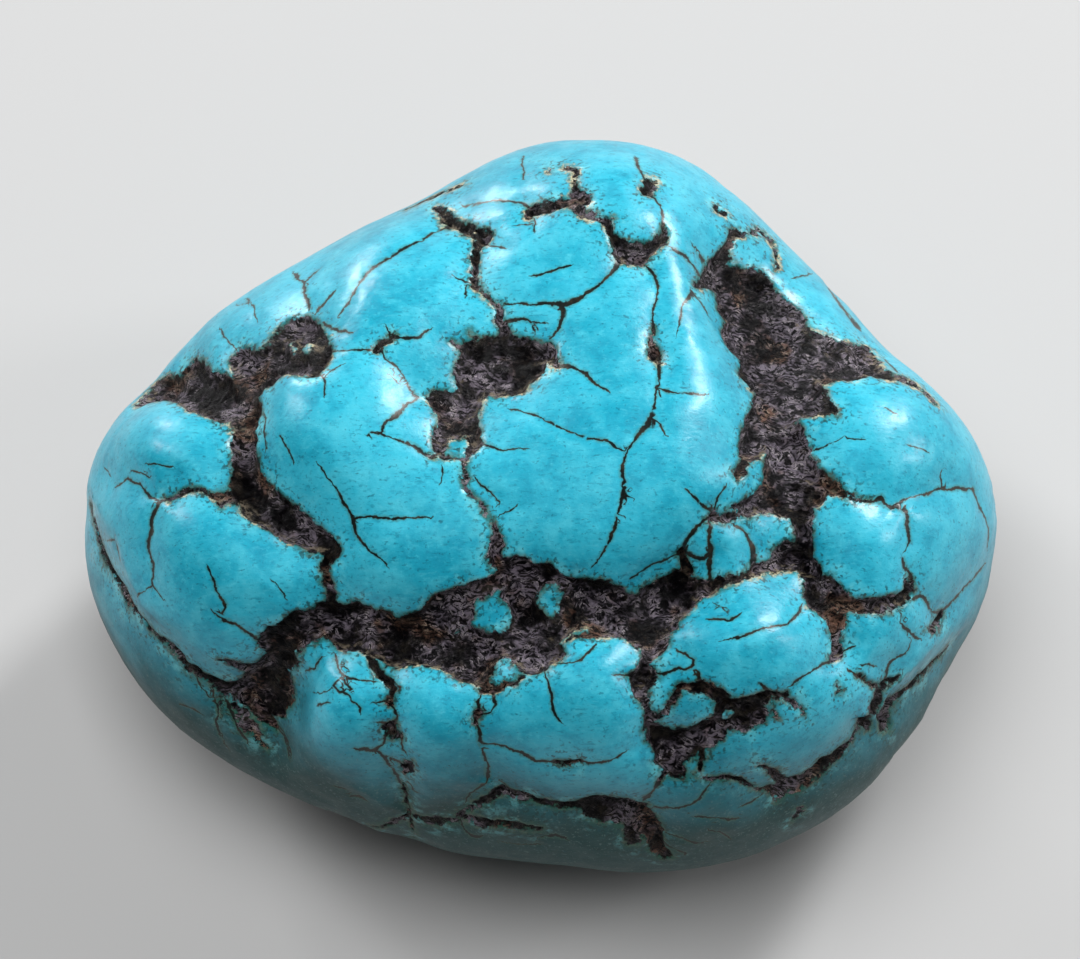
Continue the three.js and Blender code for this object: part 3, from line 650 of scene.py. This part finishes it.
class Markings:
    """Every marking on the stone, asked for at points on its bare skin."""

    def __init__(self, skin):
        self.matrix = laid_on(skin, [c for chains in MATRIX_CHAINS.values() for c in chains])
        self.broad = [np.column_stack([run[:, :3], shoulder_reach(run[:, 3])]) for run in self.matrix]
        self.islands = laid_on(skin, ISLAND_CHAINS)
        self.cracks = laid_on(skin, [c for chains in CRACK_CHAINS.values() for c in chains])
        self.creases = laid_on(skin, CREASE_CHAINS)
        self.cells = hidden_cells()

    def dip(self, points_mm):
        """How far the skin dips into the creases between lobes."""
        _, _, gap, depth = nearest_on(self.creases, on_face_plane(points_mm))
        return depth * np.exp(-(gap / CREASE_REACH_MM) ** 2)

    def at(self, points_mm, outward):
        """In mm: how far points are outside the matrix and from the cracks, and the cracks' half width."""
        straying = [wander(points_mm, 1.1, seed) + wander(points_mm, .45, seed + 3) * .6
                    for seed in (4, 5, 6)]
        strayed = points_mm + np.stack(straying, axis=1) * EDGE_WANDER_MM
        plane = on_face_plane(strayed)
        to_matrix = nearest_on(self.matrix, plane)[0]
        to_island = nearest_on(self.islands, plane)[0]
        to_broad = nearest_on(self.broad, plane)[0]
        to_matrix = np.maximum(to_matrix, -to_island)
        plane = on_face_plane(points_mm + (strayed - points_mm) * CRACK_WANDER_SHARE)
        _, side, gap, width = nearest_on(self.cracks, plane)

        # The walls between the hidden cells take over where the skin turns away from the show face.
        towards_eye = EYE_MM - points_mm
        towards_eye /= np.linalg.norm(towards_eye, axis=1)[:, None]
        facing = (outward * towards_eye).sum(1)
        held_off = (1 - np.clip((TURN_STARTS - facing) / TURN_SPAN, 0, 1)) * NEAR_MM
        wall_side, wall_gap = hidden_walls(points_mm, self.cells)
        swell = wander(points_mm, HIDDEN_SWELL_SIZE_MM, 12)
        wall_half = np.clip(HIDDEN_HALF_WIDTH_MM + swell * HIDDEN_SWELL_MM, *HIDDEN_HALF_WIDTHS_MM)
        to_matrix = np.minimum(to_matrix, wall_gap - wall_half + held_off)
        to_broad = np.minimum(to_broad, wall_gap - shoulder_reach(wall_half) + held_off)
        broken = np.clip((-swell - .55) * 2, 0, 1)
        wall_gap = wall_gap + broken + held_off
        take_wall = wall_gap < gap
        side = np.where(take_wall, wall_side, side)
        width = np.where(take_wall, .05 + .05 * np.clip(swell + .3, 0, 1), width)
        gap = np.where(take_wall, wall_gap, gap)
        return {
            "matrix": to_matrix,
            "broad": to_broad,
            "crack": side * gap,
            "crack_gap": gap,
            "crack_width": width,
        }


# ---- Mesh work ----

def only(piece):
    """Makes the piece the one that operators act on."""
    bpy.ops.object.select_all(action="DESELECT")
    piece.select_set(True)
    bpy.context.view_layer.objects.active = piece


def apply_modifier(piece, kind, **settings):
    modifier = piece.modifiers.new(kind.lower(), kind)
    for name, value in settings.items():
        setattr(modifier, name, value)
    only(piece)
    bpy.ops.object.modifier_apply(modifier=modifier.name)


def read(items, name, columns=3):
    values = np.zeros(len(items) * columns, np.float32)
    items.foreach_get(name, values)
    return values.reshape(-1, columns).astype(float)


def split_near(piece, markings, reach_mm):
    """Splits in four each face that is matrix or lies this near a marking, then evens the skin out."""
    centres = read(piece.data.polygons, "center") / MM
    outward = read(piece.data.polygons, "normal")
    found = markings.at(centres, outward)
    chosen = (found["matrix"] < reach_mm) | (found["crack_gap"] < reach_mm)
    only(piece)
    bpy.ops.object.mode_set(mode="EDIT")
    bpy.ops.mesh.select_mode(type="FACE")
    bpy.ops.mesh.select_all(action="DESELECT")
    bpy.ops.object.mode_set(mode="OBJECT")
    piece.data.polygons.foreach_set("select", chosen)
    bpy.ops.object.mode_set(mode="EDIT")
    bpy.ops.mesh.subdivide(number_cuts=1, smoothness=1.0, ngon=False, quadcorner="INNERVERT")
    bpy.ops.mesh.select_all(action="SELECT")
    bpy.ops.mesh.vertices_smooth(factor=.5, repeat=3)
    bpy.ops.object.mode_set(mode="OBJECT")


def put_attribute(piece, name, values):
    attribute = piece.data.attributes.new(name, "FLOAT", "POINT")
    attribute.data.foreach_set("value", values.astype(np.float32))


def press_in(piece, name, depths_mm):
    """Presses the skin inwards by a depth at each vertex."""
    group = piece.vertex_groups.new(name=name)
    deepest = float(depths_mm.max())
    for index, depth in enumerate(depths_mm):
        if depth > LEAST_PRESS_MM:
            group.add([index], float(depth / deepest), "REPLACE")
    apply_modifier(piece, "DISPLACE", vertex_group=name, strength=-deepest * MM, mid_level=0,
                   direction="NORMAL")
    piece.vertex_groups.remove(piece.vertex_groups[name])


def matrix_wear(points_mm, found):
    """How deep the soft matrix is worn: its shoulders, its floor and the floor's broken lumps."""
    inside = np.minimum(found["matrix"], 0)
    shoulder = SHOULDER_DEPTH_MM * np.exp(-(np.maximum(found["broad"], 0) / SHOULDER_REACH_MM) ** 1.2)
    floor = FLOOR_DEPTH_MM * (1 - np.exp(inside / FLOOR_REACH_MM))
    grit = np.array([noise.fractal(Vector(p) / ROUGH_GRAIN_MM, .7, 2.1, 4) for p in points_mm])
    rough = ROUGH_DEPTH_MM * (1 + np.clip(grit, -1, 1)) * (1 - np.exp(inside / ROUGH_REACH_MM))
    return shoulder + floor + rough


def crack_wear(gap):
    """How deep the skin is worn this far from a crack: a fine groove with low broad shoulders."""
    groove = GROOVE_DEPTH_MM * np.exp(-(gap / GROOVE_REACH_MM) ** 2)
    return groove + GROOVE_SHOULDER_MM * np.exp(-(gap / GROOVE_SHOULDER_REACH_MM) ** 2)


def make_stone():
    """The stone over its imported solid, with its markings as attributes and its wear as shape."""
    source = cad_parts["turquoise_nugget"]
    stone = bpy.data.objects.new(PIECE, source.data.copy())
    bpy.context.scene.collection.objects.link(stone)
    stone.data.materials.clear()
    only(stone)
    bpy.ops.object.mode_set(mode="EDIT")
    bpy.ops.mesh.select_all(action="SELECT")
    bpy.ops.mesh.remove_doubles(threshold=WELD_DISTANCE)
    bpy.ops.object.mode_set(mode="OBJECT")
    apply_modifier(stone, "SUBSURF", levels=1, render_levels=1)

    markings = Markings(stone)
    split_near(stone, markings, FINE_EDGE_MM)
    split_near(stone, markings, FINEST_EDGE_MM)

    points = read(stone.data.vertices, "co") / MM
    outward = read(stone.data.vertices, "normal")
    found = markings.at(points, outward)
    for name in ("matrix", "crack", "crack_gap", "crack_width"):
        put_attribute(stone, name, np.clip(found[name], -8, 8))

    worn = matrix_wear(points, found) + crack_wear(found["crack_gap"]) + markings.dip(points)
    uneven = sum(depth * (1 + wander(points, size, seed)) for depth, size, seed in UNEVEN_MM)
    press_in(stone, "worn", worn + np.maximum(uneven, 0))
    only(stone)
    bpy.ops.object.shade_smooth()
    return stone


# ---- Nodes ----

def add_node(tree, kind, inputs=None, **settings):
    made = tree.nodes.new(kind)
    for name, value in settings.items():
        setattr(made, name, value)
    for name, value in (inputs or {}).items():
        if isinstance(value, bpy.types.NodeSocket):
            tree.links.new(value, made.inputs[name])
        else:
            made.inputs[name].default_value = value
    return made


def maths(tree, operation, a, b=0.0, clamp=False):
    return add_node(tree, "ShaderNodeMath", {0: a, 1: b}, operation=operation, use_clamp=clamp).outputs[0]


def plus(tree, a, b):
    return maths(tree, "ADD", a, b)


def minus(tree, a, b):
    return maths(tree, "SUBTRACT", a, b)


def times(tree, first, *others):
    for other in others:
        first = maths(tree, "MULTIPLY", first, other)
    return first


def ramp(tree, value, from_low, from_high, to_low=0.0, to_high=1.0):
    return add_node(tree, "ShaderNodeMapRange", {
        "Value": value, "From Min": from_low, "From Max": from_high, "To Min": to_low, "To Max": to_high,
    }, interpolation_type="SMOOTHSTEP").outputs[0]


def mix_colour(tree, share, a, b):
    made = add_node(tree, "ShaderNodeMix", data_type="RGBA", clamp_factor=True)
    for socket, value in ((made.inputs[0], share), (made.inputs[6], a), (made.inputs[7], b)):
        if isinstance(value, bpy.types.NodeSocket):
            tree.links.new(value, socket)
        elif socket.type == "RGBA":
            socket.default_value = (*value, 1)
        else:
            socket.default_value = value
    return made.outputs[2]


def over(tree, below, share, strength, colour):
    """A colour laid over the one below, where its share says and no stronger than its strength."""
    return mix_colour(tree, times(tree, share, strength), below, colour)


def attribute(tree, name):
    return add_node(tree, "ShaderNodeAttribute", attribute_name=name).outputs["Fac"]


def fine_noise(tree, place, scale, detail=2.0, roughness=.5, distortion=0.0):
    return add_node(tree, "ShaderNodeTexNoise", {
        "Vector": place, "Scale": scale, "Detail": detail, "Roughness": roughness, "Distortion": distortion,
    }).outputs["Fac"]


def stretched(tree, place, scale, turn=(0, 0, 0)):
    inputs = {"Vector": place, "Scale": scale, "Rotation": turn}
    return add_node(tree, "ShaderNodeMapping", inputs).outputs[0]


def srgb(red, green, blue):
    """A colour as the eye names it, 0 to 255, as the linear light that a shader takes."""
    def linear(c):
        c /= 255
        return c / 12.92 if c <= .04045 else ((c + .055) / 1.055) ** 2.4
    return tuple(linear(c) for c in (red, green, blue))


# ---- The stone's finish. Its places and noise sizes are in mm. ----

def lit_ledges(tree):
    """Painted light for the pale crumbs of matrix: 1 where the skin faces up and back towards the lights,
    down to 0.12 elsewhere.
    """
    normal = tree.nodes.new("ShaderNodeNewGeometry").outputs["Normal"]
    facing = add_node(tree, "ShaderNodeSeparateXYZ", {0: normal}).outputs
    lit_ledge = times(tree, ramp(tree, facing["Y"], 0, .5), ramp(tree, facing["Z"], .35, .7))
    return ramp(tree, lit_ledge, 0, 1, .12, 1)


def low_colour_and_shade(tree, place, cloud):
    """1 low down on the stone, where it is painted darker and greener, partly its own colour and partly
    painted shade, with a clouded upper edge.
    """
    along = add_node(tree, "ShaderNodeSeparateXYZ", {0: place}).outputs
    height = plus(tree, along["Z"], times(tree, along["Y"], .4))
    return ramp(tree, plus(tree, height, times(tree, cloud, 7)), 18, 9)


def marking_masks(tree, place):
    """How strongly each spot is matrix, crack, crack halo, lit for the pale crumbs and low down for the
    painted shade, and how far it is from matrix.
    """
    ragged = times(tree, minus(tree, fine_noise(tree, place, 2.4, 6, .72), .5), .8)
    edge = plus(tree, attribute(tree, "matrix"), ragged)
    waver = ramp(tree, fine_noise(tree, place, 1.6, 3, .6), .3, .7, .5, 1.4)
    half = times(tree, attribute(tree, "crack_width"), waver)
    wobble = times(tree, minus(tree, fine_noise(tree, place, 4.0, 3, .6), .5), .22)
    strayed = maths(tree, "ABSOLUTE", plus(tree, attribute(tree, "crack"), wobble))
    across = maths(tree, "DIVIDE", strayed, half)
    near = ramp(tree, attribute(tree, "crack_gap"), .3, .18)
    cloud = fine_noise(tree, place, .16, 3, .55, .3)
    return {
        "edge": edge,
        "matrix": ramp(tree, edge, .035, -.035),
        "crack": times(tree, ramp(tree, across, 1.3, .75), near),
        "halo": times(tree, ramp(tree, across, 3.2, .8), near),
        "lit_ledge": lit_ledges(tree),
        "cloud": cloud,
        "low": low_colour_and_shade(tree, place, cloud),
    }


def clouded_blue(tree, place, masks, speck):
    """The bare turquoise: clouds, mottling, freckles, flecks and dashes, darker and greener low down,
    partly its own colour and partly painted shade.
    """
    mottle = fine_noise(tree, place, .75, 4, .6, .4)
    freckle = fine_noise(tree, place, 2.4, 4, .7)
    fleck = fine_noise(tree, stretched(tree, place, (2.2, 6.0, 5.0)), 1.0, 3, .6)
    body = mix_colour(tree, ramp(tree, masks["cloud"], .35, .65), srgb(22, 144, 168), srgb(42, 162, 186))
    body = over(tree, body, ramp(tree, mottle, .42, .72), .5, srgb(74, 180, 198))
    body = over(tree, body, ramp(tree, mottle, .48, .3), .5, srgb(12, 124, 150))
    body = over(tree, body, ramp(tree, freckle, .55, .72), .4, srgb(12, 112, 138))
    body = over(tree, body, ramp(tree, freckle, .45, .3), .3, srgb(76, 190, 208))
    body = over(tree, body, ramp(tree, fleck, .56, .7), .5, srgb(10, 104, 124))
    body = over(tree, body, ramp(tree, fleck, .44, .3), .2, srgb(90, 190, 206))
    body = over(tree, body, ramp(tree, speck, .66, .72), .5, srgb(8, 84, 100))

    # Painted shade: low down the turquoise is made darker and greener, partly its own colour and partly
    # shade.
    body = over(tree, body, masks["low"], .94, srgb(12, 50, 44))
    dusty = ramp(tree, fine_noise(tree, place, 5.0, 4, .7), .56, .66)
    body = over(tree, body, times(tree, dusty, masks["low"]), .3, srgb(120, 150, 146))
    dash = fine_noise(tree, stretched(tree, place, (1, 2.6, 1.6), (0, 0, .5)), 1.9, 2, .5)
    return over(tree, body, ramp(tree, dash, .68, .74), .55, srgb(8, 70, 84))


def turquoise_colour(tree, place, masks):
    """Clouded blue with worn, stained and peppered rims along the matrix, pale crust on them painted
    lighter where the skin faces up and back towards the lights, and filled cracks.
    """
    edge = masks["edge"]
    speck = fine_noise(tree, place, 4.5, 2, .5)
    patchy = fine_noise(tree, place, .9, 4, .65)
    body = clouded_blue(tree, place, masks, speck)
    worn = times(tree, ramp(tree, edge, .9, .1), ramp(tree, patchy, .5, .36))
    body = over(tree, body, worn, .4, srgb(112, 200, 205))
    stained = times(tree, ramp(tree, edge, .36, .02), ramp(tree, patchy, .32, .5))
    body = over(tree, body, stained, .85, srgb(34, 82, 68))
    peppered = times(tree, ramp(tree, edge, 1.1, .1), ramp(tree, speck, .56, .62))
    body = over(tree, body, peppered, .8, srgb(20, 52, 48))
    grain = ramp(tree, fine_noise(tree, place, 1.9, 5, .75), .46, .58)
    # Pale crust along the matrix, painted lighter where the skin faces up and back towards the lights.
    lit_crust = times(tree, ramp(tree, edge, .26, .03), masks["lit_ledge"], grain)
    body = over(tree, body, lit_crust, .9, srgb(182, 170, 138))
    body = over(tree, body, masks["halo"], .55, srgb(58, 98, 80))
    filling = ramp(tree, fine_noise(tree, place, 1.2, 4, .7), .45, .7)
    filled = mix_colour(tree, filling, srgb(8, 16, 14), srgb(46, 40, 28))
    return mix_colour(tree, masks["crack"], body, filled)


def matrix_fibres(tree, place):
    """Short bent fibres, as a smooth noise across them and as fine threads along its middle, where bright
    glints are painted.
    """
    bend = add_node(tree, "ShaderNodeTexNoise", {"Vector": place, "Scale": .8, "Detail": 2.0})
    swing = {0: bend.outputs["Color"], 1: (1.6, 1.6, 1.6)}
    swung = add_node(tree, "ShaderNodeVectorMath", swing, operation="MULTIPLY").outputs[0]
    bent = add_node(tree, "ShaderNodeVectorMath", {0: place, 1: swung}, operation="ADD").outputs[0]
    fibre = fine_noise(tree, stretched(tree, bent, (2.2, 7, 5.6), (0, .3, .2)), 1.0, 2.5, .62)
    threads = ramp(tree, maths(tree, "ABSOLUTE", minus(tree, fibre, .53)), .035, .008)
    return fibre, threads


def matrix_colour(tree, place, masks, fibre, threads):
    """Near black, with zones of grey fibres, painted glints on the threads, brown patches, and a pale
    grainy edge of crumbs here and there, painted lighter where the skin faces up and back towards the
    lights.
    """
    zone = ramp(tree, fine_noise(tree, place, .5, 4, .65), .42, .58)
    browned = ramp(tree, fine_noise(tree, place, .33, 3, .6), .5, .62)
    grey = mix_colour(tree, browned, srgb(146, 136, 150), srgb(134, 100, 84))
    bright = mix_colour(tree, browned, srgb(220, 210, 216), srgb(208, 184, 162))
    dark = mix_colour(tree, times(tree, ramp(tree, fibre, .42, .62), zone), srgb(5, 4, 7), grey)
    spots = ramp(tree, fine_noise(tree, place, 1.7, 3, .6), .46, .6)
    # Painted highlight: bright glints laid along the threads in the matrix's colour.
    painted_glints = times(tree, threads, spots, ramp(tree, zone, 0, 1, .12, 1))
    dark = over(tree, dark, painted_glints, .95, bright)
    grain = ramp(tree, fine_noise(tree, place, 2.4, 5, .75), .48, .58)
    # A pale grainy edge of crumbs in the matrix, painted lighter where the skin faces up and back towards
    # the lights.
    lit_brim = times(tree, ramp(tree, masks["edge"], -.6, -.02), masks["lit_ledge"], grain)
    return over(tree, dark, lit_brim, .8, srgb(168, 154, 132))


def fine_relief(tree, place, masks, fibre, threads):
    """Height in mm: tumbled strokes and pits on the turquoise, crumbs and fibres on the matrix."""
    strokes = fine_noise(tree, stretched(tree, place, (1.5, 3.4, 3.0), (0, 0, .1)), 1.0, 3, .6)
    pits = fine_noise(tree, place, 6, 3, .6)
    polished = plus(tree, times(tree, strokes, .013), times(tree, pits, .011))
    crumb = fine_noise(tree, place, 1.1, 6, .8, .5)
    broken = plus(tree, times(tree, crumb, 1.2), times(tree, fibre, .35))
    broken = plus(tree, broken, times(tree, threads, .05))
    return plus(tree, polished, times(tree, minus(tree, broken, .78), masks["matrix"]))


def turquoise_material():
    material = bpy.data.materials.new("tumbled_turquoise")
    material.use_nodes = True
    tree = material.node_tree
    tree.nodes.clear()
    output = tree.nodes.new("ShaderNodeOutputMaterial")
    shader = tree.nodes.new("ShaderNodeBsdfPrincipled")
    tree.links.new(shader.outputs[0], output.inputs[0])
    metres = tree.nodes.new("ShaderNodeTexCoord").outputs["Object"]
    place = stretched(tree, metres, (1 / MM, 1 / MM, 1 / MM))

    masks = marking_masks(tree, place)
    fibre, threads = matrix_fibres(tree, place)
    blue = turquoise_colour(tree, place, masks)
    black = matrix_colour(tree, place, masks, fibre, threads)
    tree.links.new(mix_colour(tree, masks["matrix"], blue, black), shader.inputs["Base Color"])

    polish = ramp(tree, fine_noise(tree, place, .9, 3, .6), .3, .7, .3, .42)
    polish = plus(tree, polish, times(tree, masks["low"], .25))
    rough = add_node(tree, "ShaderNodeMix", {0: masks["matrix"], 2: polish, 3: .45}, data_type="FLOAT")
    tree.links.new(rough.outputs[0], shader.inputs["Roughness"])
    bare = maths(tree, "SUBTRACT", 1.0, masks["matrix"], clamp=True)
    tree.links.new(times(tree, bare, .08), shader.inputs["Coat Weight"])
    shader.inputs["Coat Roughness"].default_value = .2
    shader.inputs["IOR"].default_value = 1.5
    shader.inputs["Specular IOR Level"].default_value = .42

    height = fine_relief(tree, place, masks, fibre, threads)
    bump = add_node(tree, "ShaderNodeBump", {"Height": height, "Distance": MM, "Strength": 1.0})
    tree.links.new(bump.outputs[0], shader.inputs["Normal"])
    return material


# ---- Stage ----

def make_camera():
    data = bpy.data.cameras.new("view")
    data.sensor_width = SENSOR_WIDTH_MM
    data.lens = SENSOR_WIDTH_MM * SIGHT_DISTANCE_MM / VIEW_WIDTH_MM
    data.clip_start, data.clip_end = .01, 10
    camera = bpy.data.objects.new("view", data)
    turn = Matrix([FACE_RIGHT, FACE_UP, -SIGHT]).transposed().to_4x4()
    camera.matrix_world = Matrix.Translation(EYE_MM * MM) @ turn
    bpy.context.scene.collection.objects.link(camera)
    bpy.context.scene.camera = camera


def area_light(name, place, size, power):
    data = bpy.data.lights.new(name, "AREA")
    data.shape = "RECTANGLE"
    data.size, data.size_y = size
    data.energy = power
    light = bpy.data.objects.new(name, data)
    light.location = place
    light.rotation_mode = "QUATERNION"
    light.rotation_quaternion = (Vector(LIGHTS_AIM) - Vector(place)).to_track_quat("-Z", "Y")
    bpy.context.scene.collection.objects.link(light)
    return light


def make_stage():
    bpy.ops.object.select_all(action="DESELECT")
    bpy.ops.mesh.primitive_plane_add(size=FLOOR_SIZE)
    floor = bpy.context.object
    floor.name = "floor"
    material = bpy.data.materials.new("pale_floor")
    material.use_nodes = True
    shader = material.node_tree.nodes["Principled BSDF"]
    shader.inputs["Base Color"].default_value = (FLOOR_GREY, FLOOR_GREY, FLOOR_GREY, 1)
    shader.inputs["Roughness"].default_value = .8
    floor.data.materials.append(material)

    world = bpy.data.worlds.new("room")
    world.use_nodes = True
    background = world.node_tree.nodes["Background"]
    background.inputs["Color"].default_value = (1, 1, 1, 1)
    background.inputs["Strength"].default_value = ROOM_LIGHT
    bpy.context.scene.world = world

    area_light("overhead", *SOFT_OVERHEAD).visible_glossy = False
    for name, strip in STRIP_LIGHTS.items():
        area_light(name, *strip)
    bpy.context.scene.view_settings.view_transform = "Standard"


make_camera()
make_stage()
stone = make_stone()
stone.data.materials.append(turquoise_material())
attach(stone, "root")
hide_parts("turquoise_nugget")
